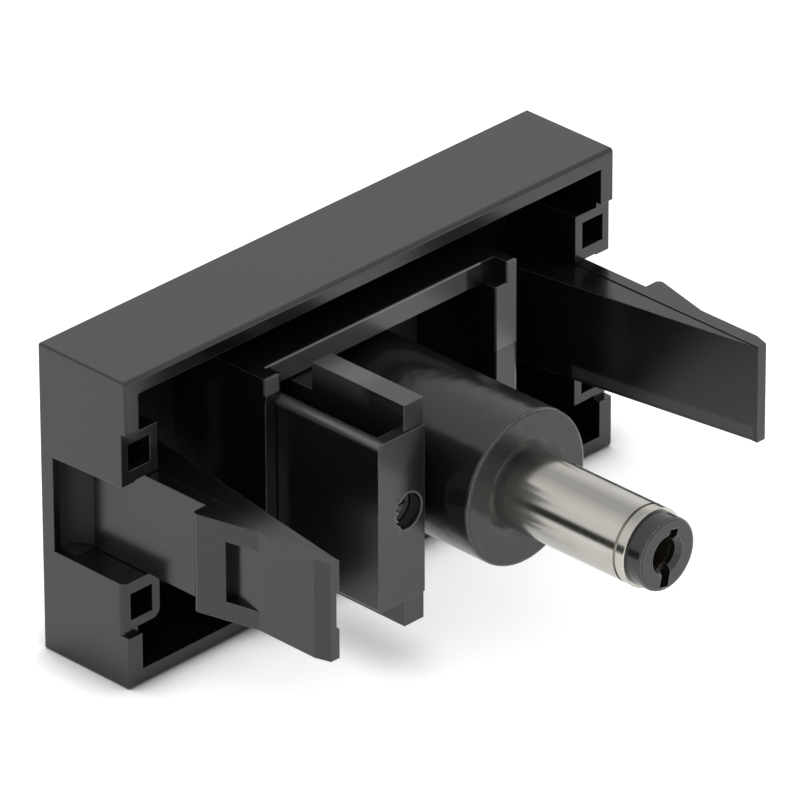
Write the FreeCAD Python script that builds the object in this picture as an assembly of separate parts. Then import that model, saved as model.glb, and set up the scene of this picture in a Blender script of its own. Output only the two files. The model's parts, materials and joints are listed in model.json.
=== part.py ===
import FreeCAD, Part
import os

# Snap-in module with a barrel jack in its front face and a barrel plug at its back.
# X runs along the module, Z is up, the front face lies at Y = 0 and the back is at -Y.

# Outer shell
module_length = 45.0
module_height = 22.5
rim_depth = 7.95
panel_thickness = 1.15
long_wall = 1.15
end_wall = 1.2
edge_radius = 0.15
rear_edge_radius = 0.3
end_setback = 0.42
setback_half = 7.45
end_wall_round = 0.45
window_drop_front = 0.37
window_drop_rear = 0.1

# Corner sockets, two at each end wall
socket_width = 2.0
socket_height = 3.45
socket_hole = 1.95
socket_skin = 0.65
socket_depth = 3.2
socket_round = 0.65

# Latch arms
arm_half = 3.57
arm_slit = 0.08
arm_reach = 23.95
arm_outer = 20.35
arm_strip = 0.9
arm_wedge_drop = 0.06
arm_tip = 0.75
arm_tip_inner = 19.4
arm_root_inner = 15.85
arm_root_round = 1.5
arm_root_leg = 1.8
arm_foot_round = 1.2
barb_front = 12.95
barb_height = 1.35
barb_round = 0.38
barb_length = 4.9
barb_runout = 0.15
tip_bevel = 1.15
tip_notch_half = 1.2
tip_notch_depth = 0.25
tip_notch_length = 0.9
pocket_half = 2.2
pocket_front = 2.5
pocket_depth = 0.65
pocket_length = 2.8

# Rectangular collar behind the panel
collar_left = 11.6
collar_right = 11.8
collar_half = 7.85
collar_roof = 1.55
collar_depth = 8.4
collar_post_reach = 1.25
collar_left_wall = 0.9
collar_right_skin = 1.1
collar_right_round = 0.5
collar_rail = 1.05
collar_left_step = 0.08
collar_cap = 0.55
collar_cap_round = 0.2

# Jack insert
flange_thickness = 1.3
flange_gap = 0.1
nose_wall = 1.65
nose_gap = 0.05
nose_sink = 0.1
jack_play = 0.1
jack_depth = 9.0
jack_mouth = 0.35
jack_wall = 1.75
jack_back = 1.5
jack_pin_radius = 1.0
jack_pin_dome = 0.6
jack_pin_shoulder = 0.3
jack_pin_sink = 1.2
jack_pin_tail = 1.7
boss_radius = 1.6
boss_length = 6.0
boss_gap = 0.2

# Sprung sleeve contact
leaf_width = 2.2
leaf_thickness = 0.3
leaf_rise = 0.35
leaf_bow = 0.55
leaf_mouth = 2.6
leaf_gap = 0.05

# Plug at the back
plug_radius = 5.45
plug_end = 21.65
plug_round = 0.22
plug_dish_margin = 0.7
plug_dish_depth = 0.2
barrel_radius = 2.75
barrel_wall = 0.5
barrel_reach = 11.15
barrel_round = 0.06
barrel_grip = 5.15
barrel_flange = 0.95
barrel_flange_thickness = 0.8
barrel_neck = 0.2
groove_from_tip = 0.8
groove_width = 0.22
groove_depth = 0.17
tip_step = 0.21
tip_length = 1.3
tip_round = 0.2
liner_inset = 2.3
contact_play = 0.05
contact_wall = 0.45
contact_length = 9.2
contact_slit = 0.5
contact_inset = 0.8
keyhole_width = 0.82
keyhole_up = 1.75
keyhole_down = 2.25
keyhole_aside = 0.2
keyhole_tilt = 13.5
keyhole_sink = 0.34
keyhole_overlap = 0.1
press_gap = 0.02

# Retainer block and its screw
block_end = 18.75
block_side_gap = 0.16
block_gap = 0.1
block_plug_gap = 0.95
block_round = 0.28
rib_width = 1.75
rib_rise = 0.28
rib_gap = 1.95
rib_step = 0.12
channel_skin = 0.78
channel_end = 0.9
channel_depth = 3.7
screw_from_plug = 1.6
screw_z = 0.4
screw_hole = 1.28
screw_head = 1.2
screw_head_height = 0.9
screw_sink = 1.05
screw_shank = 0.75
screw_gap = 0.04
screw_length = 13.0
screw_slot = 0.32
screw_slot_depth = 0.4
screw_slot_reach = 0.84

# How far a cut runs past the surface that it opens, and how far an eased corner bulges
past = 1.0
ease_bulge = 0.29

# Places worked out from the sizes above
half_length = module_length / 2
half_height = module_height / 2
end_face = half_length - end_wall
rim_inner = rim_depth - end_setback
window_half = arm_half + arm_slit
collar_inner = collar_half - collar_roof
collar_back = collar_depth + collar_post_reach
insert_left = -collar_left + collar_left_wall
insert_right = collar_right - collar_right_skin - collar_rail
flange_back = panel_thickness + flange_thickness
jack_bore = barrel_radius + jack_play
nose_radius = jack_bore + nose_wall
jack_radius = jack_bore + jack_wall
jack_end = jack_depth + jack_back
pin_end = jack_end + jack_pin_tail
leaf_height = jack_bore + leaf_rise
leaf_top = leaf_height + leaf_thickness
plug_dish_radius = barrel_radius + plug_dish_margin
barrel_tip = plug_end + barrel_reach
barrel_root = plug_end - barrel_grip
plug_tip = barrel_tip + tip_length
tip_radius = barrel_radius - tip_step
barrel_bore = barrel_radius - barrel_wall
barrel_flange_radius = barrel_radius + barrel_flange
barrel_flange_back = barrel_root + barrel_flange_thickness
barrel_neck_radius = barrel_radius - barrel_neck
barrel_neck_end = plug_end - plug_dish_depth
contact_bore = jack_pin_radius + contact_play
contact_radius = contact_bore + contact_wall
contact_front = plug_tip - contact_inset
liner_bore = contact_radius + press_gap
liner_radius = barrel_bore - press_gap
liner_back = barrel_root + liner_inset
block_half = collar_inner - block_side_gap
rib_half = collar_half + rib_rise
block_left = insert_left + block_gap
block_right = -plug_radius - block_plug_gap
screw_x = block_right - screw_from_plug
rib_left = block_right - rib_width
rib_front = collar_depth + rib_gap
screw_front = block_end - screw_sink - screw_head_height - screw_length
boss_end = flange_back + boss_length


def box(x0, x1, y0, y1, z0, z1):
    corner = FreeCAD.Vector(min(x0, x1), min(y0, y1), min(z0, z1))
    return Part.makeBox(abs(x1 - x0), abs(y1 - y0), abs(z1 - z0), corner)


def rod(radius, y0, y1, x=0.0, z=0.0):
    start = FreeCAD.Vector(x, min(y0, y1), z)
    return Part.makeCylinder(radius, abs(y1 - y0), start, FreeCAD.Vector(0, 1, 0))


def turned(points, x=0.0, z=0.0):
    """A profile of radius and Y, turned about a line along Y."""
    corners = [FreeCAD.Vector(x + radius, y, z) for radius, y in points]
    face = Part.Face(Part.makePolygon(corners + corners[:1]))
    return face.revolve(FreeCAD.Vector(x, 0, z), FreeCAD.Vector(0, 1, 0), 360)


def eased(radius, y, size):
    """Profile points that ease an outer corner at the -Y end of a turned piece."""
    inset = size * ease_bulge
    return [(radius, y + size), (radius - inset, y + inset), (radius - size, y)]


def prism_z(points, z0, z1):
    """A flat outline in X and Y, raised from z0 to z1."""
    corners = [FreeCAD.Vector(x, y, z0) for x, y in points]
    face = Part.Face(Part.makePolygon(corners + corners[:1]))
    return face.extrude(FreeCAD.Vector(0, 0, z1 - z0))


def prism_x(points, x0, x1):
    """A flat outline in Y and Z, raised from x0 to x1."""
    corners = [FreeCAD.Vector(x0, y, z) for y, z in points]
    face = Part.Face(Part.makePolygon(corners + corners[:1]))
    return face.extrude(FreeCAD.Vector(x1 - x0, 0, 0))


def prism_y(points, y0, y1):
    """A flat outline in X and Z, raised from y0 to y1."""
    corners = [FreeCAD.Vector(x, y0, z) for x, z in points]
    face = Part.Face(Part.makePolygon(corners + corners[:1]))
    return face.extrude(FreeCAD.Vector(0, y1 - y0, 0))


def mirror(shape, x=0, z=0):
    return shape.mirror(FreeCAD.Vector(0, 0, 0), FreeCAD.Vector(x, 0, z))


def near(value, target):
    return abs(value - target) < 1e-4


def edges_where(shape, test):
    """The straight edges whose two end points both pass the test."""
    chosen = []
    for edge in shape.Edges:
        ends = [vertex.Point for vertex in edge.Vertexes]
        if len(ends) == 2 and all(test(point) for point in ends):
            chosen.append(edge)
    return chosen


def upright_edges(shape, x, y):
    return edges_where(shape, lambda point: near(point.x, x) and near(point.y, y))


def long_edges(shape, y, z):
    return edges_where(shape, lambda point: near(point.y, y) and near(point.z, z))


def side_edges(shape, x, z):
    return edges_where(shape, lambda point: near(point.x, x) and near(point.z, z))


def ring_edges(shape, radius, y):
    """The round edges of one radius at one place along Y."""
    chosen = []
    for edge in shape.Edges:
        curve = edge.Curve
        if curve.TypeId == "Part::GeomCircle" and near(curve.Radius, radius) and near(curve.Center.y, y):
            chosen.append(edge)
    return chosen


def make_shell():
    """The tray: a front panel with a rim, its end walls set back and open at the latches."""
    outer = box(-half_length, half_length, -rim_depth, 0, -half_height, half_height)
    rear = long_edges(outer, -rim_depth, half_height) + long_edges(outer, -rim_depth, -half_height)
    outer = outer.makeFillet(rear_edge_radius, rear)
    sharp = long_edges(outer, 0, half_height) + long_edges(outer, 0, -half_height)
    for end in (-half_length, half_length):
        sharp += edges_where(outer, lambda point: near(point.x, end))
    outer = outer.makeFillet(edge_radius, sharp)
    hollow_z = half_height - long_wall
    shell = outer.cut(box(-end_face, end_face, -rim_depth - past, -panel_thickness, -hollow_z, hollow_z))
    for side in (-1, 1):
        inner = side * (end_face - past)
        outside = side * (half_length + past)
        setback = box(inner, outside, -rim_depth - past, -rim_inner, -setback_half, setback_half)
        window = prism_x([
            (-rim_depth - past, -window_half),
            (-panel_thickness, -window_half),
            (-panel_thickness, window_half - window_drop_front),
            (-rim_inner, window_half - window_drop_rear),
            (-rim_depth - past, window_half - window_drop_rear),
        ], inner, outside)
        shell = shell.cut(setback.fuse(window))
    lower = upright_edges(shell, -half_length, -rim_inner) + upright_edges(shell, half_length, -rim_inner)
    lower = [edge for edge in lower if edge.CenterOfMass.z < 0]
    return shell.makeFillet(end_wall_round, lower)


def make_socket(softened):
    """One blind square socket in the corner of the right-hand end wall."""
    x0 = end_face - socket_width
    z0 = window_half
    z1 = window_half + socket_height
    body = box(x0, end_face + end_wall / 2, -rim_inner, -panel_thickness, z0, z1)
    if softened:
        body = body.makeFillet(socket_round, side_edges(body, x0, z0) + side_edges(body, x0, z1))
    hole_x = x0 + socket_skin
    hole_z = z1 - socket_skin - socket_hole
    floor = -rim_inner + socket_depth
    hole = box(hole_x, hole_x + socket_hole, -rim_inner - past, floor, hole_z, hole_z + socket_hole)
    return body, hole


def make_arm():
    """The right-hand latch arm, with a wedge that thickens it towards its root."""
    inner_slope = (arm_tip_inner - arm_root_inner) / (arm_reach - panel_thickness)
    strip_inner = arm_outer - arm_strip
    root_y = -panel_thickness / 2
    behind_barb = arm_outer + barb_runout
    ramp_end = barb_front + barb_length
    crest = arm_outer + barb_height
    foot_x = half_length - end_wall / 2
    arm = prism_z([
        (strip_inner, root_y),
        (foot_x, root_y),
        (foot_x, -panel_thickness),
        (arm_outer, -panel_thickness),
        (arm_outer, -barb_front),
        (crest, -barb_front),
        (behind_barb, -ramp_end),
        (behind_barb, -arm_reach + tip_bevel),
        (arm_tip_inner + arm_tip, -arm_reach),
        (arm_tip_inner, -arm_reach),
    ], -arm_half, arm_half)
    arm = arm.makeFillet(barb_round, upright_edges(arm, crest, -barb_front))
    arm = arm.makeFillet(arm_foot_round, upright_edges(arm, arm_outer, -panel_thickness))
    wedge_half = arm_half - arm_wedge_drop
    root_x = arm_root_inner - inner_slope * (panel_thickness + root_y)
    wedge = prism_z([
        (root_x, root_y),
        (strip_inner + arm_strip / 2, root_y),
        (arm_tip_inner + arm_tip / 2, -arm_reach),
        (arm_tip_inner, -arm_reach),
    ], -wedge_half, wedge_half)
    web = prism_z([
        (arm_root_inner - arm_root_leg, root_y),
        (arm_root_inner + arm_root_leg, root_y),
        (arm_root_inner + inner_slope * arm_root_leg, -panel_thickness - arm_root_leg),
        (arm_root_inner, -panel_thickness),
        (arm_root_inner - arm_root_leg, -panel_thickness),
    ], -wedge_half, wedge_half)
    web = web.makeFillet(arm_root_round, upright_edges(web, arm_root_inner, -panel_thickness))
    pocket_y = -barb_front - pocket_front
    pocket_floor = crest - pocket_front * (barb_height - barb_runout) / barb_length - pocket_depth
    pocket = prism_z([
        (pocket_floor, pocket_y),
        (crest + past, pocket_y),
        (crest + past, pocket_y - pocket_length),
        (behind_barb, pocket_y - pocket_length),
    ], -pocket_half, pocket_half)
    return arm.fuse([wedge, web]).cut(pocket)


def make_tip_notch():
    """The shallow notch in the inner edge of the left-hand arm's end."""
    foot = tip_notch_half + tip_notch_depth
    return prism_y([
        (-arm_tip_inner + past, -foot - past),
        (-arm_tip_inner - tip_notch_depth, -tip_notch_half),
        (-arm_tip_inner - tip_notch_depth, tip_notch_half),
        (-arm_tip_inner + past, foot + past),
    ], -arm_reach - past, -arm_reach + tip_notch_length)


def make_collar():
    """The rectangular collar that guides the insert, with a rail along its right-hand wall."""
    front = -panel_thickness / 2
    skin_x = collar_right - collar_right_skin
    outer = box(-collar_left, skin_x, -collar_depth, front, -collar_half, collar_half)
    opening = box(insert_left, insert_right, -collar_depth - past, past, -collar_inner, collar_inner)
    left = box(-collar_left, insert_left, -collar_back, front, -collar_half, collar_half)
    step = box(-collar_left - past, insert_left + past, -collar_back - past, -collar_back + collar_left_step,
               -collar_inner, collar_inner)
    skin = box(skin_x, collar_right, -collar_back, front, -collar_half, collar_half)
    rounded = upright_edges(skin, collar_right, -collar_back)
    rounded += side_edges(skin, collar_right, collar_half) + side_edges(skin, collar_right, -collar_half)
    skin = skin.makeFillet(collar_right_round, rounded)
    rail = box(insert_right, skin_x, -collar_back, front, -collar_inner, collar_inner)
    cap_x = insert_left + collar_cap
    cap = box(-collar_left, cap_x, -collar_back, front, collar_inner, collar_half)
    cap = cap.makeFillet(collar_cap_round, upright_edges(cap, cap_x, -collar_back))
    return outer.cut(opening).fuse([left.cut(step), skin, rail, cap, mirror(cap, z=1)])


def make_housing():
    """The one moulding: tray, four sockets, two latch arms and the collar."""
    shell = make_shell()
    bodies = []
    holes = []
    for side in (-1, 1):
        for level in (-1, 1):
            body, hole = make_socket(side < 0 and level < 0)
            if side < 0:
                body, hole = mirror(body, x=1), mirror(hole, x=1)
            if level < 0:
                body, hole = mirror(body, z=1), mirror(hole, z=1)
            bodies.append(body)
            holes.append(hole)
    arm = make_arm()
    left_arm = mirror(arm, x=1).cut(make_tip_notch())
    housing = shell.fuse(bodies + [arm, left_arm, make_collar()])
    for hole in holes:
        housing = housing.cut(hole)
    housing = housing.cut(rod(nose_radius + nose_gap, -panel_thickness - past, past))
    return housing.removeSplitter()


def make_jack_body():
    """The insulator: a nose in the panel, a flange behind it and a blind round socket."""
    flange = box(insert_left + flange_gap, insert_right - flange_gap, -flange_back, -panel_thickness,
                 -collar_inner + flange_gap, collar_inner - flange_gap)
    body = flange.fuse(turned([
        (0, -nose_sink),
        (nose_radius, -nose_sink),
        (nose_radius, -panel_thickness),
        (jack_radius, -panel_thickness),
        (jack_radius, -jack_end),
        (0, -jack_end),
    ]))
    body = body.fuse(rod(boss_radius, -boss_end, -flange_back, screw_x, screw_z))
    shoulder = jack_pin_radius + jack_pin_shoulder + press_gap
    body = body.cut(turned([
        (0, past),
        (jack_bore + jack_mouth, past),
        (jack_bore + jack_mouth, -nose_sink),
        (jack_bore, -nose_sink - jack_mouth),
        (jack_bore, -jack_depth),
        (shoulder, -jack_depth),
        (shoulder, -jack_end - past),
        (0, -jack_end - past),
    ]))
    half = leaf_width / 2 + leaf_gap
    top = leaf_top + leaf_gap
    body = body.cut(box(-half, half, -jack_depth, -leaf_mouth + leaf_gap, 0, top))
    body = body.cut(box(-half, half, -jack_end - past, -jack_depth, leaf_height - leaf_gap, top))
    pilot = rod(screw_shank + screw_gap, -boss_end - past, -screw_front + screw_gap, screw_x, screw_z)
    return body.cut(pilot).removeSplitter()


def make_jack_pin():
    """The centre pin, domed in front, with a thicker root that ends in a tail for the plug's contact."""
    root = jack_pin_radius + jack_pin_shoulder
    pin = turned([
        (0, -jack_pin_sink),
        (jack_pin_radius, -jack_pin_sink),
        (jack_pin_radius, -jack_depth),
        (root, -jack_depth),
        (root, -pin_end),
        (0, -pin_end),
    ])
    return pin.makeFillet(jack_pin_dome, ring_edges(pin, jack_pin_radius, -jack_pin_sink))


def make_jack_leaf():
    """The sprung strip that meets the outside of a mating barrel, with its straight tail."""
    bend = (jack_depth + leaf_mouth) / 2
    low = leaf_height - leaf_bow
    outline = [
        (-barrel_root, leaf_height),
        (-jack_depth, leaf_height),
        (-bend, low),
        (-leaf_mouth, leaf_height),
        (-leaf_mouth, leaf_top),
        (-bend, low + leaf_thickness),
        (-jack_depth, leaf_top),
        (-barrel_root, leaf_top),
    ]
    return prism_x(outline, -leaf_width / 2, leaf_width / 2)


def make_plug_body():
    """The round moulding that joins the jack to the plug, shaped around what it holds."""
    seat = jack_radius + press_gap
    core = contact_radius + press_gap
    neck = barrel_neck_radius + press_gap
    flange = barrel_flange_radius + press_gap
    body = turned([
        (seat, -flange_back),
        (plug_radius, -flange_back),
        *eased(plug_radius, -plug_end, plug_round),
        (plug_dish_radius, -plug_end),
        (barrel_radius + press_gap, -barrel_neck_end),
        (neck, -barrel_neck_end),
        (neck, -barrel_flange_back),
        (flange, -barrel_flange_back),
        (flange, -barrel_root),
        (core, -barrel_root),
        (core, -jack_end),
        (seat, -jack_end),
    ])
    half = leaf_width / 2 + leaf_gap
    slot = box(-half, half, -barrel_root, -jack_end + past, leaf_height - leaf_gap, leaf_top + leaf_gap)
    return body.cut(slot).removeSplitter()


def make_plug_barrel():
    """The plated sleeve, grooved near its tip, necked and flanged where the moulding grips it."""
    groove_front = -barrel_tip + groove_from_tip + groove_width / 2
    groove_back = groove_front - groove_width
    groove_radius = barrel_radius - groove_depth
    return turned([
        (barrel_bore, -barrel_root),
        (barrel_flange_radius, -barrel_root),
        (barrel_flange_radius, -barrel_flange_back),
        (barrel_neck_radius, -barrel_flange_back),
        (barrel_neck_radius, -barrel_neck_end),
        (barrel_radius, -barrel_neck_end),
        (barrel_radius, groove_front),
        (groove_radius, groove_front),
        (groove_radius, groove_back),
        (barrel_radius, groove_back),
        *eased(barrel_radius, -barrel_tip, barrel_round),
        (barrel_bore, -barrel_tip),
    ])


def make_plug_insulator():
    """The tip ring and the liner that keeps the centre contact off the sleeve."""
    piece = turned([
        (liner_bore, -liner_back),
        (liner_radius, -liner_back),
        (liner_radius, -barrel_tip),
        (tip_radius, -barrel_tip),
        *eased(tip_radius, -plug_tip, tip_round),
        (contact_bore + keyhole_sink, -plug_tip),
        (contact_bore, -plug_tip + keyhole_sink),
        (contact_bore, -contact_front),
        (liner_bore, -contact_front),
    ])
    half = keyhole_width / 2
    slot_floor = -contact_front + keyhole_overlap
    slot = box(keyhole_aside - half, keyhole_aside + half, -plug_tip - past, slot_floor,
               -keyhole_down, keyhole_up)
    slot.rotate(FreeCAD.Vector(0, 0, 0), FreeCAD.Vector(0, 1, 0), keyhole_tilt)
    return piece.cut(slot).removeSplitter()


def make_plug_contact():
    """The split centre contact, with a solid tail that meets the jack's pin."""
    bore_end = -contact_front + contact_length
    contact = turned([
        (0, -pin_end),
        (contact_radius, -pin_end),
        (contact_radius, -contact_front),
        (contact_bore, -contact_front),
        (contact_bore, bore_end),
        (0, bore_end),
    ])
    slit = box(-contact_slit / 2, contact_slit / 2, -contact_front - past, bore_end - contact_bore,
               -contact_radius - past, contact_radius + past)
    slit.rotate(FreeCAD.Vector(0, 0, 0), FreeCAD.Vector(0, 1, 0), keyhole_tilt)
    return contact.cut(slit).removeSplitter()


def make_retainer_block():
    """The block between the collar and the plug: a channelled plate with a taller rib."""
    plate = box(block_left, block_right, -block_end, -flange_back, -block_half, block_half)
    long_sides = side_edges(plate, block_left, block_half) + side_edges(plate, block_left, -block_half)
    plate = plate.makeFillet(block_round, long_sides)
    rib = box(rib_left, block_right, -block_end + rib_step, -rib_front, -rib_half, rib_half)
    block = plate.fuse(rib)
    channel_x = block_left + channel_skin
    for level in (-1, 1):
        floor = level * (block_half - channel_depth)
        block = block.cut(box(channel_x, rib_left, -block_end + channel_end, -flange_back - channel_end,
                              floor, level * (block_half + past)))
    head_y = -block_end + screw_sink + screw_head_height
    block = block.cut(rod(screw_hole, -block_end - past, head_y, screw_x, screw_z))
    block = block.cut(rod(screw_shank + screw_gap, head_y - past, past, screw_x, screw_z))
    block = block.cut(rod(boss_radius + boss_gap, -boss_end - boss_gap, past, screw_x, screw_z))
    return block.removeSplitter()


def make_retainer_screw():
    """A cross-slotted screw sunk in the back of the block."""
    head_back = -block_end + screw_sink
    head_front = head_back + screw_head_height
    screw = turned([
        (0, head_back),
        (screw_head, head_back),
        (screw_head, head_front),
        (screw_shank, head_front),
        (screw_shank, head_front + screw_length),
        (0, head_front + screw_length),
    ], screw_x, screw_z)
    half = screw_slot / 2
    floor = head_back + screw_slot_depth
    for wide, high in ((screw_slot_reach, half), (half, screw_slot_reach)):
        screw = screw.cut(box(screw_x - wide, screw_x + wide, head_back - past, floor,
                              screw_z - high, screw_z + high))
    return screw.removeSplitter()


makers = {
    "housing": make_housing,
    "jack_body": make_jack_body,
    "jack_centre_pin": make_jack_pin,
    "jack_sleeve_contact": make_jack_leaf,
    "plug_body": make_plug_body,
    "plug_barrel": make_plug_barrel,
    "plug_tip_insulator": make_plug_insulator,
    "plug_centre_contact": make_plug_contact,
    "retainer_block": make_retainer_block,
    "retainer_screw": make_retainer_screw,
}

os.makedirs("parts", exist_ok=True)
for node, maker in makers.items():
    shape = maker()
    if not shape.isValid() or len(shape.Solids) != 1:
        print("check", node, shape.isValid(), len(shape.Solids))
    shape.exportStep("parts/" + node + ".step")
    print(node, round(shape.Volume, 2), "mm3")
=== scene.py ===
import json
import math

import bpy
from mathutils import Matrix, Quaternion, Vector, noise


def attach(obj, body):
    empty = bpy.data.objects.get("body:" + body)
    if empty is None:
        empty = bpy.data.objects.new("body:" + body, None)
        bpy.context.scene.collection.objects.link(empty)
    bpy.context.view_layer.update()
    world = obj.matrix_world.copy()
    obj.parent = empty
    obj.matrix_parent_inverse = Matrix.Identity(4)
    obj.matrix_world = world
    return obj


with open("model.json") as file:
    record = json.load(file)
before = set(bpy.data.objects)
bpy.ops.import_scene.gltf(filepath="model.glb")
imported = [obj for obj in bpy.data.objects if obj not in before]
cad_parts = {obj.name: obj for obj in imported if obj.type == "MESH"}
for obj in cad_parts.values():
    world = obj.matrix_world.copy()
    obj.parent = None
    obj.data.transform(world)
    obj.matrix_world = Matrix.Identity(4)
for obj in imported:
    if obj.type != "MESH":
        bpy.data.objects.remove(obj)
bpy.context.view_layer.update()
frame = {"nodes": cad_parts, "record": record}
nodes = frame["nodes"]
mm = 0.001  # the scene is in metres, and the values below are in mm unless a note says otherwise
print("frame loaded:", len(nodes), "solids")

# camera: a long lens, almost without perspective
cameraSetup = {
    "place": (-429.31, -433.79, 336.30),
    "aim": (4.902, -5.417, -1.743),
    "roll": -0.0039,  # radians
    "lens": 478.14,
    "sensor": 36.0,
    "nearest": 0.05,  # metres
    "farthest": 20.0,  # metres
}


def placeCamera(setup):
    lens = bpy.data.cameras.new("longLens")
    lens.lens = setup["lens"]
    lens.sensor_width = setup["sensor"]
    lens.clip_start = setup["nearest"]
    lens.clip_end = setup["farthest"]
    camera = bpy.data.objects.new("longLens", lens)
    bpy.context.collection.objects.link(camera)
    place = Vector(setup["place"]) * mm
    back = place - Vector(setup["aim"]) * mm
    camera.location = place
    camera.rotation_mode = "QUATERNION"
    camera.rotation_quaternion = back.to_track_quat("Z", "Y") @ Quaternion((0, 0, 1), setup["roll"])
    bpy.context.scene.camera = camera


placeCamera(cameraSetup)
print("camera placed")


# a term is another node's socket, which is linked, or a plain value, which is set
def feed(tree, socket, term):
    if isinstance(term, bpy.types.NodeSocket):
        tree.links.new(term, socket)
    else:
        socket.default_value = term


def addNode(tree, kind, place, settings=None, **terms):
    node = tree.nodes.new(kind)
    node.location = place
    for name, value in (settings or {}).items():
        setattr(node, name, value)
    for name, term in terms.items():
        feed(tree, node.inputs[name], term)
    return node


def addMath(tree, place, operation, *terms, clamp=False):
    node = addNode(tree, "ShaderNodeMath", place, {"operation": operation, "use_clamp": clamp})
    for socket, term in zip(node.inputs, terms):
        feed(tree, socket, term)
    return node.outputs["Value"]


def addVectorMath(tree, place, operation, *terms):
    node = addNode(tree, "ShaderNodeVectorMath", place, {"operation": operation})
    for socket, term in zip(node.inputs, terms):
        feed(tree, socket, term)
    return node.outputs["Value" if operation == "DOT_PRODUCT" else "Vector"]


def addScaled(tree, place, vector, amount):
    node = addNode(tree, "ShaderNodeVectorMath", place, {"operation": "SCALE"}, Scale=amount)
    feed(tree, node.inputs[0], vector)
    return node.outputs["Vector"]


def addRange(tree, place, amount, before=(0.0, 1.0), after=(0.0, 1.0)):
    ends = dict(zip(("From Min", "From Max", "To Min", "To Max"), (*before, *after)))
    return addNode(tree, "ShaderNodeMapRange", place, Value=amount, **ends).outputs["Result"]


def addMix(tree, place, kind, amount, first, second):
    node = addNode(tree, "ShaderNodeMix", place, {"data_type": kind}, Factor=amount, A=first, B=second)
    return node.outputs["Result"]


def addNoise(tree, place, vector, **terms):
    return addNode(tree, "ShaderNodeTexNoise", place, Vector=vector, **terms).outputs["Fac"]


def newGroup(name, vectors, amounts, results):
    group = bpy.data.node_groups.new(name, "ShaderNodeTree")
    for socket in vectors:
        group.interface.new_socket(name=socket, in_out="INPUT", socket_type="NodeSocketVector")
    for socket, value in amounts.items():
        made = group.interface.new_socket(name=socket, in_out="INPUT", socket_type="NodeSocketFloat")
        made.default_value = value
    for socket in results:
        group.interface.new_socket(name=socket, in_out="OUTPUT", socket_type="NodeSocketFloat")
    start = addNode(group, "NodeGroupInput", (-1200, 0))
    end = addNode(group, "NodeGroupOutput", (900, 0))
    return group, start.outputs, end.inputs


def useGroup(tree, group, place, terms):
    return addNode(tree, "ShaderNodeGroup", place, {"node_tree": group}, **terms).outputs


# openness: none in an inner corner, full on an open edge, judged within a short reach
openEdges = {"samples": 5, "span": (0.75, 0.97)}


def addOpenness(tree, place, reach):
    around = addNode(tree, "ShaderNodeAmbientOcclusion", place, {"samples": openEdges["samples"]},
                     Distance=reach * mm)
    return addRange(tree, (place[0] + 250, place[1]), around.outputs["AO"], openEdges["span"])


# moulded grain: fine texture, ripples, slow waves, specks of dust and a slow change of tone
grainEffect = {
    "fine": {"Detail": 3.0, "Roughness": 0.6},
    "slow": {"Scale": 160.0, "Detail": 2.0, "Roughness": 0.5},  # scales are per metre
    "specks": {"Scale": 3300.0, "Detail": 1.0, "Roughness": 0.4},
    "speckSpan": (0.72, 0.82),
    "ripples": {"Scale": 750.0, "Detail": 1.0, "Roughness": 0.4},
    "waves": 1.5,
}


def makeMouldedGrain(effect):
    group, given, result = newGroup("mouldedGrain", ["Vector"],
                                    {"Grain size": 0.1, "Tone": 0.15, "Dust": 0.1, "Ripple": 0.1},
                                    ["Tone", "Gloss", "Height"])
    perMetre = addMath(group, (-1000, 200), "DIVIDE", 1 / mm, given["Grain size"])
    fine = addNoise(group, (-700, 300), given["Vector"], Scale=perMetre, **effect["fine"])
    slow = addNoise(group, (-700, 0), given["Vector"], **effect["slow"])
    specks = addNoise(group, (-700, -300), given["Vector"], **effect["specks"])
    ripples = addNoise(group, (-700, 550), given["Vector"], **effect["ripples"])
    speckMask = addRange(group, (-450, -300), specks, effect["speckSpan"])
    dust = addMath(group, (-200, -300), "MULTIPLY", speckMask, given["Dust"])
    swing = addMath(group, (-450, 50), "SUBTRACT", slow, 0.5)
    shade = addMath(group, (-200, 50), "MULTIPLY_ADD", swing, given["Tone"], 1.0)
    rippled = addMath(group, (-200, 500), "MULTIPLY_ADD", ripples, given["Ripple"], fine)
    feed(group, result["Tone"], addMath(group, (100, 0), "ADD", shade, dust))
    feed(group, result["Gloss"], addMath(group, (100, 200), "ADD", fine, swing))
    feed(group, result["Height"], addMath(group, (100, 400), "MULTIPLY_ADD", slow, effect["waves"], rippled))
    return group


# turned lines: fine lines round the Y axis and faint stains, as on drawn and plated metal
turnedEffect = {
    "stretch": (0.004, 1.0, 0.004),
    "lines": {"Detail": 3.0, "Roughness": 0.65},
    "stains": {"Scale": 420.0, "Detail": 4.0, "Roughness": 0.6},
    "stainSpan": (0.45, 0.75),
}


def makeTurnedLines(effect):
    group, given, result = newGroup("turnedLines", ["Vector"], {"Line width": 0.03}, ["Lines", "Stain"])
    perMetre = addMath(group, (-1000, 200), "DIVIDE", 1 / mm, given["Line width"])
    stretched = addNode(group, "ShaderNodeMapping", (-900, -50),
                        Vector=given["Vector"], Scale=effect["stretch"]).outputs["Vector"]
    lines = addNoise(group, (-600, 200), stretched, Scale=perMetre, **effect["lines"])
    stains = addNoise(group, (-600, -100), given["Vector"], **effect["stains"])
    feed(group, result["Lines"], lines)
    feed(group, result["Stain"], addRange(group, (-300, -100), stains, effect["stainSpan"]))
    return group


# edge wear and painted highlight: open edges are made paler, partly as rubbed wear and partly as a painted
# highlight, where a rounded normal leaves the surface's own, broken up in patches
edgeWearAndHighlightEffect = {
    "bevelSamples": 6,
    "lipSpan": (0.99, 0.86),
    "reach": 0.4,
    "patches": {"Detail": 4.0, "Roughness": 0.7},
    "patchSpan": (0.35, 0.65),
    "leastWear": 0.25,
}


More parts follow.
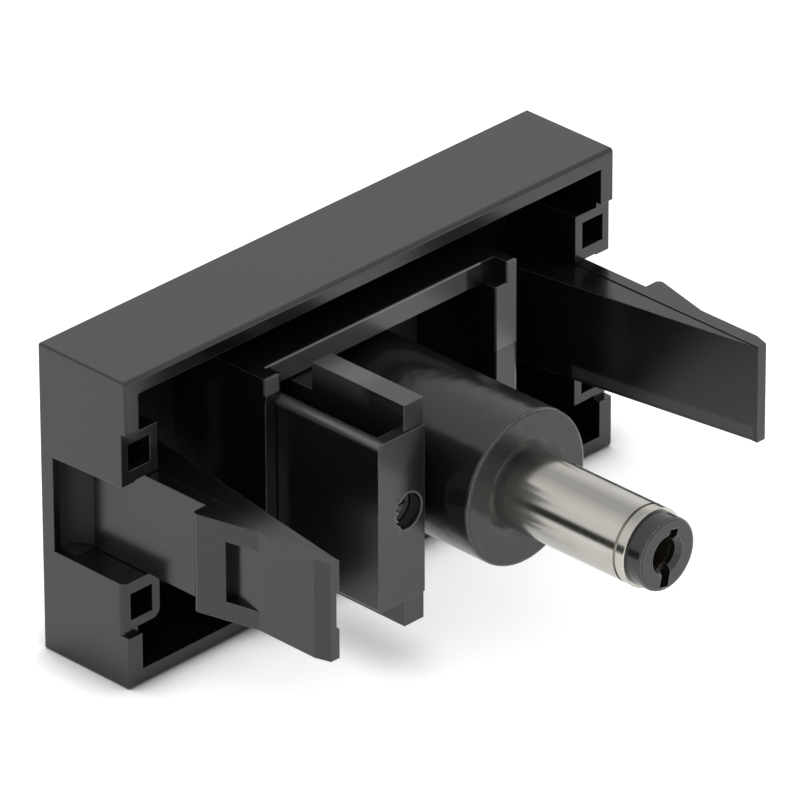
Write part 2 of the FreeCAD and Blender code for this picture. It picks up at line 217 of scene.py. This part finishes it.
def makeEdgeWearAndHighlight(effect):
    group, given, result = newGroup("edgeWearAndHighlight", ["Vector"], {"Width": 0.1, "Patch size": 0.5}, ["Wear"])
    radius = addMath(group, (-900, 250), "MULTIPLY", given["Width"], mm)
    rounded = addNode(group, "ShaderNodeBevel", (-700, 250), {"samples": effect["bevelSamples"]},
                      Radius=radius).outputs["Normal"]
    own = addNode(group, "ShaderNodeNewGeometry", (-700, 50)).outputs["Normal"]
    match = addVectorMath(group, (-450, 200), "DOT_PRODUCT", rounded, own)
    lip = addRange(group, (-200, 200), match, effect["lipSpan"])
    openLip = addMath(group, (0, 300), "MULTIPLY", lip, addOpenness(group, (-450, 450), effect["reach"]))
    perMetre = addMath(group, (-900, -200), "DIVIDE", 1 / mm, given["Patch size"])
    patches = addNoise(group, (-700, -200), given["Vector"], Scale=perMetre, **effect["patches"])
    broken = addRange(group, (-450, -200), patches, effect["patchSpan"], (effect["leastWear"], 1.0))
    feed(group, result["Wear"], addMath(group, (100, 0), "MULTIPLY", openLip, broken))
    return group


# painted shading patch: a soft-edged box in which the skin gets another tone, painted to stand in for light
# and shade
def makeGreyPatch():
    group, given, result = newGroup("paintedShadingPatch", ["Vector", "Centre", "Half"], {"Blur": 0.2}, ["Grey"])
    placeInMm = addScaled(group, (-1000, 100), given["Vector"], 1 / mm)
    offset = addVectorMath(group, (-800, 100), "SUBTRACT", placeInMm, given["Centre"])
    distance = addVectorMath(group, (-600, 100), "ABSOLUTE", offset)
    past = addVectorMath(group, (-400, 100), "SUBTRACT", distance, given["Half"])
    split = addNode(group, "ShaderNodeSeparateXYZ", (-200, 100), Vector=past).outputs
    larger = addMath(group, (0, 150), "MAXIMUM", split["X"], split["Y"])
    largest = addMath(group, (150, 100), "MAXIMUM", larger, split["Z"])
    feed(group, result["Grey"], addRange(group, (350, 100), largest, (0.0, given["Blur"]), (1.0, 0.0)))
    return group


mouldedGrain = makeMouldedGrain(grainEffect)
turnedLines = makeTurnedLines(turnedEffect)
edgeWearAndHighlight = makeEdgeWearAndHighlight(edgeWearAndHighlightEffect)
paintedShadingPatch = makeGreyPatch()
print("shared effects made")

# finishes: plastics and metals, each with a look of its own
relief = {"grain": 0.01, "lines": 0.004}  # how high the two textures stand
roundedEdge = {"samples": 6, "reach": 0.3}  # the reach is that of the test for an open edge


def grey(level):
    return (level, level, level)


def newMaterial(name):
    material = bpy.data.materials.new(name)
    material.use_nodes = True
    tree = material.node_tree
    tree.nodes.clear()
    output = addNode(tree, "ShaderNodeOutputMaterial", (900, 0))
    return material, tree, output.inputs["Surface"]


def addSkin(tree, surface, terms):
    skin = addNode(tree, "ShaderNodeBsdfPrincipled", (550, 0), **terms)
    feed(tree, surface, skin.outputs["BSDF"])


# painted light and shade: each patch mixes its own tone into the colour, and sometimes into the roughness
def addPaintedShading(tree, place, colour, rough, patches):
    for number, patch in enumerate(patches):
        row = 800 + 250 * number
        mask = useGroup(tree, paintedShadingPatch, (-600, row),
                        {"Vector": place, "Centre": patch["centre"], "Half": patch["half"],
                         "Blur": patch["blur"]})
        colour = addMix(tree, (300, row), "RGBA", mask["Grey"], colour, (*patch["colour"], 1))
        if "rough" in patch:
            rough = addMix(tree, (300, row - 100), "FLOAT", mask["Grey"], rough, patch["rough"])
    return colour, rough


def makePlastic(name, look):
    material, tree, surface = newMaterial(name)
    place = addNode(tree, "ShaderNodeTexCoord", (-900, 0)).outputs["Object"]
    grain = useGroup(tree, mouldedGrain, (-600, 0),
                     {"Vector": place, "Grain size": look["grainSize"], "Tone": look["tone"],
                      "Dust": look["dust"], "Ripple": look["ripple"]})
    wornAndHighlit = useGroup(tree, edgeWearAndHighlight, (-600, 400),
                    {"Vector": place, "Width": look["wearAndHighlightWidth"], "Patch size": look["wearAndHighlightPatch"]})
    fresh = addScaled(tree, (-200, 200), look["colour"], grain["Tone"])
    # open edges made paler: partly rubbed wear, partly a painted highlight
    colour = addMix(tree, (150, 250), "RGBA", wornAndHighlit["Wear"], fresh, (*look["wearAndHighlightColour"], 1))
    rough = addRange(tree, (-200, -50), grain["Gloss"], after=look["rough"])
    colour, rough = addPaintedShading(tree, place, colour, rough, look.get("patches", []))
    # only open edges are rounded, so an inner corner keeps its own normal
    rounded = addNode(tree, "ShaderNodeBevel", (-600, -500), {"samples": roundedEdge["samples"]},
                      Radius=look["edge"] * mm).outputs["Normal"]
    own = addNode(tree, "ShaderNodeNewGeometry", (-600, -700)).outputs["Normal"]
    openness = addOpenness(tree, (-600, -950), roundedEdge["reach"])
    blended = addMix(tree, (-200, -600), "VECTOR", openness, own, rounded)
    bump = addNode(tree, "ShaderNodeBump", (200, -300), Strength=look["bump"], Distance=relief["grain"] * mm,
                   Height=grain["Height"], Normal=addVectorMath(tree, (0, -600), "NORMALIZE", blended))
    addSkin(tree, surface, {"Base Color": colour, "Roughness": rough, "IOR": look["ior"],
                            "Normal": bump.outputs["Normal"]})
    return material


def makeMetal(name, look):
    material, tree, surface = newMaterial(name)
    place = addNode(tree, "ShaderNodeTexCoord", (-900, 0)).outputs["Object"]
    lines = useGroup(tree, turnedLines, (-600, 0), {"Vector": place, "Line width": look["lineWidth"]})
    stained = addRange(tree, (-350, 200), lines["Stain"], after=(0.0, look["stain"]))
    colour = addMix(tree, (-100, 200), "RGBA", stained, (*look["colour"], 1), (*look["stainColour"], 1))
    rough = addRange(tree, (-200, -50), lines["Lines"], after=look["rough"])
    colour, rough = addPaintedShading(tree, place, colour, rough, look.get("patches", []))
    bump = addNode(tree, "ShaderNodeBump", (200, -300), Strength=look["bump"], Distance=relief["lines"] * mm,
                   Height=lines["Lines"])
    addSkin(tree, surface, {"Base Color": colour, "Roughness": rough, "Metallic": 1.0,
                            "Normal": bump.outputs["Normal"]})
    return material


# in each look the wear colour paints open edges paler, partly as rubbed wear and partly as a painted
# highlight, and the patches paint light and shade
housingLook = {
    "colour": (0.006, 0.006, 0.0063), "ior": 1.54, "rough": (0.14, 0.26),
    "grainSize": 0.12, "tone": 0.5, "dust": 0.6, "ripple": 0.4, "edge": 0.08, "bump": 0.2,
    "wearAndHighlightWidth": 0.13, "wearAndHighlightPatch": 0.7, "wearAndHighlightColour": grey(0.075),
    "patches": [
        # painted light: a paler cap on the collar's left post
        {"centre": (-11.2, -9.6, 7.5), "half": (0.7, 0.1, 0.75), "blur": 0.15, "colour": grey(0.1)},
        # painted light on the back of the collar's roof, and a painted highlight as a pale line along its
        # upper edge
        {"centre": (-1.0, -8.7, 7.0), "half": (9.0, 0.32, 0.75), "blur": 0.25, "colour": grey(0.07)},
        {"centre": (-0.5, -8.4, 7.85), "half": (9.9, 0.07, 0.07), "blur": 0.05, "colour": grey(0.25)},
        # painted light on the collar's right post, weaker low down where it mirrors the floor
        {"centre": (10.9, -9.9, 4.9), "half": (1.2, 0.36, 3.2), "blur": 0.12, "colour": grey(0.16)},
        {"centre": (10.9, -9.9, -3.0), "half": (1.2, 0.36, 4.6), "blur": 0.12, "colour": grey(0.055)},
        # painted light: a paler lower rim of the right arm
        {"centre": (18.4, -16.5, -2.9), "half": (1.2, 7.0, 0.3), "blur": 0.25, "colour": grey(0.045)},
        # painted shade: a darker, rougher strip behind the panel in the left latch window
        {"centre": (-21.1, -1.75, 0.0), "half": (0.7, 0.7, 4.0), "blur": 0.3, "colour": grey(0.003),
         "rough": 0.75},
    ],
}
blockLook = {
    "colour": (0.009, 0.009, 0.0092), "ior": 1.63, "rough": (0.16, 0.28),
    "grainSize": 0.14, "tone": 0.6, "dust": 0.8, "ripple": 0.5, "edge": 0.08, "bump": 0.25,
    "wearAndHighlightWidth": 0.14, "wearAndHighlightPatch": 0.4, "wearAndHighlightColour": grey(0.15),
    "patches": [
        # painted sheen: a paler rounded long edge
        {"centre": (-10.45, -13.9, 6.1), "half": (0.3, 4.7, 0.25), "blur": 0.2, "colour": grey(0.07)},
        # painted light: a paler front part of the rib's top
        {"centre": (-7.2, -12.0, 8.13), "half": (1.4, 2.2, 0.1), "blur": 1.5, "colour": grey(0.05)},
    ],
}
insulatorLook = {
    "colour": (0.008, 0.008, 0.0085), "ior": 1.5, "rough": (0.38, 0.55),
    "grainSize": 0.15, "tone": 0.4, "dust": 0.4, "ripple": 0.3, "edge": 0.06, "bump": 0.35,
    "wearAndHighlightWidth": 0.08, "wearAndHighlightPatch": 0.6, "wearAndHighlightColour": grey(0.04),
}
plugLook = {
    "colour": (0.008, 0.008, 0.0083), "ior": 1.53, "rough": (0.17, 0.28),
    "grainSize": 0.16, "tone": 0.5, "dust": 0.8, "ripple": 16.0, "edge": 0.09, "bump": 0.3,
    "wearAndHighlightWidth": 0.2, "wearAndHighlightPatch": 0.35, "wearAndHighlightColour": grey(0.34),
}
tipLook = {
    "colour": (0.010, 0.013, 0.011), "ior": 1.54, "rough": (0.14, 0.24),
    "grainSize": 0.1, "tone": 0.3, "dust": 0.4, "ripple": 0.3, "edge": 0.06, "bump": 0.15,
    "wearAndHighlightWidth": 0.12, "wearAndHighlightPatch": 0.5, "wearAndHighlightColour": (0.45, 0.47, 0.45),
}
nickelLook = {
    "colour": (0.52, 0.505, 0.465), "rough": (0.13, 0.26), "lineWidth": 0.05, "bump": 0.1,
    "stainColour": (0.39, 0.37, 0.325), "stain": 0.45,
    "patches": [
        # painted reflections: a dark band along the barrel's top, and a fainter dark one low on its left
        {"centre": (-0.9, -26.0, 2.7), "half": (0.25, 6.5, 0.9), "blur": 0.85, "colour": (0.31, 0.3, 0.275)},
        {"centre": (-2.0, -26.0, -2.2), "half": (0.5, 6.5, 0.4), "blur": 1.2, "colour": (0.42, 0.405, 0.37)},
    ],
}
brassLook = {
    "colour": (0.42, 0.37, 0.27), "rough": (0.25, 0.4), "lineWidth": 0.05, "bump": 0.2,
    "stainColour": (0.22, 0.18, 0.12), "stain": 0.5,
}
screwLook = {
    "colour": grey(0.3), "rough": (0.3, 0.48), "lineWidth": 0.06, "bump": 0.3,
    "stainColour": grey(0.12), "stain": 0.6,
}

finishes = {
    "housing_plastic": makePlastic("semiGlossBlack", housingLook),
    "insulator_plastic": makePlastic("dullBlack", insulatorLook),
    "plug_plastic": makePlastic("satinBlack", plugLook),
    "tip_plastic": makePlastic("glossyBlack", tipLook),
    "plated_metal": makeMetal("brightNickel", nickelLook),
    "contact_metal": makeMetal("plainBrass", brassLook),
    "screw_steel": makeMetal("darkSteel", screwLook),
}

for part in frame["record"]["subparts"]:
    for slot in nodes[part["node"]].material_slots:
        slot.material = finishes[part["material_slot"]]
for slot in nodes["retainer_block"].material_slots:
    slot.material = makePlastic("greyishBlack", blockLook)  # a little paler than the housing
print("finishes given to the solids")

# torn rim: a thin burr pushed up round the screw hole in the block, highest on its left
tornRim = {
    "centre": (-7.95, -18.75, 0.4),
    "steps": 72,
    "hole": 1.25,  # radii of the hole, the crest and the foot
    "crest": 1.31,
    "foot": 1.4,
    "height": 0.03,
    "sunk": 0.02,  # of the foot into the block
    "thickness": 0.03,
    "tear": 0.45,  # the largest push of the crest
    "inward": 1.1,  # how the push is shared out: over the hole, and away from the block
    "away": 0.7,
    "evenShare": 0.2,  # of the push, all round
    "leastShare": 0.06,
    "tearsPerMetre": 5200,
    "contrast": 1.6,
    "leastTorn": 0.15,
    "look": {
        "colour": grey(0.1), "ior": 1.55, "rough": (0.3, 0.5),
        "grainSize": 0.05, "tone": 1.6, "dust": 3.0, "ripple": 3.0, "edge": 0.02, "bump": 0.6,
        "wearAndHighlightWidth": 0.05, "wearAndHighlightPatch": 0.15, "wearAndHighlightColour": grey(0.4),
    },
}


def chooseOne(piece, index):
    for vertex in piece.data.vertices:
        vertex.select = vertex.index == index
    for edge in piece.data.edges:
        edge.select = False
    for face in piece.data.polygons:
        face.select = False


def findCrest(rim, centre, setup):
    inner = (setup["hole"] + setup["crest"]) / 2
    outer = (setup["crest"] + setup["foot"]) / 2
    return [vertex.index for vertex in rim.data.vertices
            if inner < math.hypot(vertex.co.x - centre.x, vertex.co.z - centre.z) / mm < outer]


# how far the crest is pushed at a point, and how far that point lies to the left, from -1 to 1
def findPush(point, centre, setup):
    left = (centre.x - point.x) / (setup["crest"] * mm)
    wave = noise.noise(Vector((point.x, point.z, 0)) * setup["tearsPerMetre"])
    torn = min(max(wave * setup["contrast"] + 0.5, 0), 1)
    share = max(setup["leastShare"], setup["evenShare"] + (1 - setup["evenShare"]) * left)
    return setup["tear"] * share * (setup["leastTorn"] + (1 - setup["leastTorn"]) * torn), left


def tearCrest(rim, centre, setup):
    for index in findCrest(rim, centre, setup):
        push, left = findPush(rim.data.vertices[index].co, centre, setup)
        inward = setup["inward"] * push * max(left, 0)
        chooseOne(rim, index)
        bpy.ops.object.mode_set(mode="EDIT")
        bpy.ops.transform.translate(value=(inward * mm, -setup["away"] * push * mm, 0))
        bpy.ops.object.mode_set(mode="OBJECT")


def thicken(rim, setup):
    for name, kind, values in (("thickness", "SOLIDIFY", {"thickness": setup["thickness"] * mm, "offset": 0}),
                               ("smoothing", "SUBSURF", {"levels": 1, "render_levels": 1})):
        modifier = rim.modifiers.new(name, kind)
        for key, value in values.items():
            setattr(modifier, key, value)
        bpy.ops.object.modifier_apply(modifier=name)
    bpy.ops.object.mode_set(mode="EDIT")
    bpy.ops.mesh.select_all(action="SELECT")
    bpy.ops.mesh.normals_make_consistent(inside=False)
    bpy.ops.object.mode_set(mode="OBJECT")
    bpy.ops.object.shade_smooth()


def makeTornRim(setup):
    centre = Vector(setup["centre"]) * mm
    bpy.ops.object.select_all(action="DESELECT")
    bpy.ops.mesh.primitive_circle_add(vertices=setup["steps"], radius=setup["hole"] * mm,
                                      location=centre, rotation=(math.pi / 2, 0, 0))
    rim = bpy.context.object
    rim.name = "tornRim"
    bpy.ops.object.transform_apply(location=True, rotation=True, scale=True)
    bpy.ops.object.mode_set(mode="EDIT")
    bpy.ops.mesh.select_mode(type="VERT")
    bpy.ops.mesh.select_all(action="SELECT")
    for radius, before, lift in (("crest", "hole", -setup["height"]),
                                 ("foot", "crest", setup["height"] + setup["sunk"])):
        grow = setup[radius] / setup[before]
        bpy.ops.mesh.extrude_edges_move()
        bpy.ops.transform.resize(value=(grow, 1, grow), center_override=centre)
        bpy.ops.transform.translate(value=(0, lift * mm, 0))
    bpy.ops.object.mode_set(mode="OBJECT")
    tearCrest(rim, centre, setup)
    thicken(rim, setup)
    rim.data.materials.append(makePlastic("tornBlack", setup["look"]))
    bpy.context.scene.cursor.location = (0, 0, 0)
    bpy.ops.object.origin_set(type="ORIGIN_CURSOR")
    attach(rim, "root")


makeTornRim(tornRim)
print("torn rim modelled")

# studio: white floor, white surroundings, soft boxes
studio = {
    "floorZ": -11.27,
    "floorReach": 3.0,  # metres
    "floorColour": grey(0.72),
    "floorLift": 0.69,
    "shadowSamples": 8,
    "shadowReach": 4.0,
    "shadowFoot": 0.45,
    "surroundings": 0.65,
    "topBox": {"place": (-150, 250, 700), "size": 600, "watts": 2.0},
    "sideBox": {"place": (560, -430, 560), "size": 380, "watts": 0.6},
}


# one for what the camera, a mirror or a lens sees, none for what only throws light
def addSeen(tree, place):
    path = addNode(tree, "ShaderNodeLightPath", place).outputs
    either = addMath(tree, (place[0] + 200, place[1]), "ADD", path["Is Camera Ray"], path["Is Glossy Ray"])
    return addMath(tree, (place[0] + 350, place[1]), "ADD", either, path["Is Transmission Ray"], clamp=True)


def makeFloor(setup):
    bpy.ops.object.select_all(action="DESELECT")
    bpy.ops.mesh.primitive_plane_add(size=setup["floorReach"], location=(0, 0, setup["floorZ"] * mm))
    floor = bpy.context.object
    floor.name = "paleFloor"
    bpy.ops.object.transform_apply(location=True, rotation=True, scale=True)
    material, tree, surface = newMaterial("paleFloor")
    # the glow fades near the object after ambient occlusion: a painted contact shadow on the floor
    around = addNode(tree, "ShaderNodeAmbientOcclusion", (-400, -500), {"samples": setup["shadowSamples"]},
                     Distance=setup["shadowReach"] * mm)
    openFloor = addRange(tree, (-150, -500), around.outputs["AO"],
                         (setup["shadowFoot"], 1.0), (0.0, setup["floorLift"]))
    lift = addMath(tree, (100, -200), "MULTIPLY", addSeen(tree, (-400, -200)), openFloor)
    matt = addNode(tree, "ShaderNodeBsdfDiffuse", (250, 100), Color=(*setup["floorColour"], 1))
    glow = addNode(tree, "ShaderNodeEmission", (250, -200), Strength=lift)
    both = addNode(tree, "ShaderNodeAddShader", (500, 0))
    feed(tree, both.inputs[0], matt.outputs["BSDF"])
    feed(tree, both.inputs[1], glow.outputs["Emission"])
    feed(tree, surface, both.outputs["Shader"])
    floor.data.materials.append(material)


def makeSurroundings(setup):
    world = bpy.data.worlds.new("whiteRoom")
    world.use_nodes = True
    tree = world.node_tree
    tree.nodes.clear()
    strength = addRange(tree, (-100, 0), addSeen(tree, (-600, 0)), after=(setup["surroundings"], 1.0))
    white = addNode(tree, "ShaderNodeBackground", (100, 0), Color=(1, 1, 1, 1), Strength=strength)
    addNode(tree, "ShaderNodeOutputWorld", (300, 0), Surface=white.outputs["Background"])
    bpy.context.scene.world = world


def makeSoftBox(name, setup):
    lamp = bpy.data.lights.new(name, "AREA")
    lamp.size = setup["size"] * mm
    lamp.energy = setup["watts"]
    box = bpy.data.objects.new(name, lamp)
    bpy.context.collection.objects.link(box)
    box.location = Vector(setup["place"]) * mm
    box.rotation_mode = "QUATERNION"
    box.rotation_quaternion = box.location.to_track_quat("Z", "Y")
    box.visible_glossy = False  # the white room alone is mirrored


makeFloor(studio)
makeSurroundings(studio)
for name in ("topBox", "sideBox"):
    makeSoftBox(name, studio[name])
bpy.context.scene.view_settings.view_transform = "Standard"
print("studio lit")
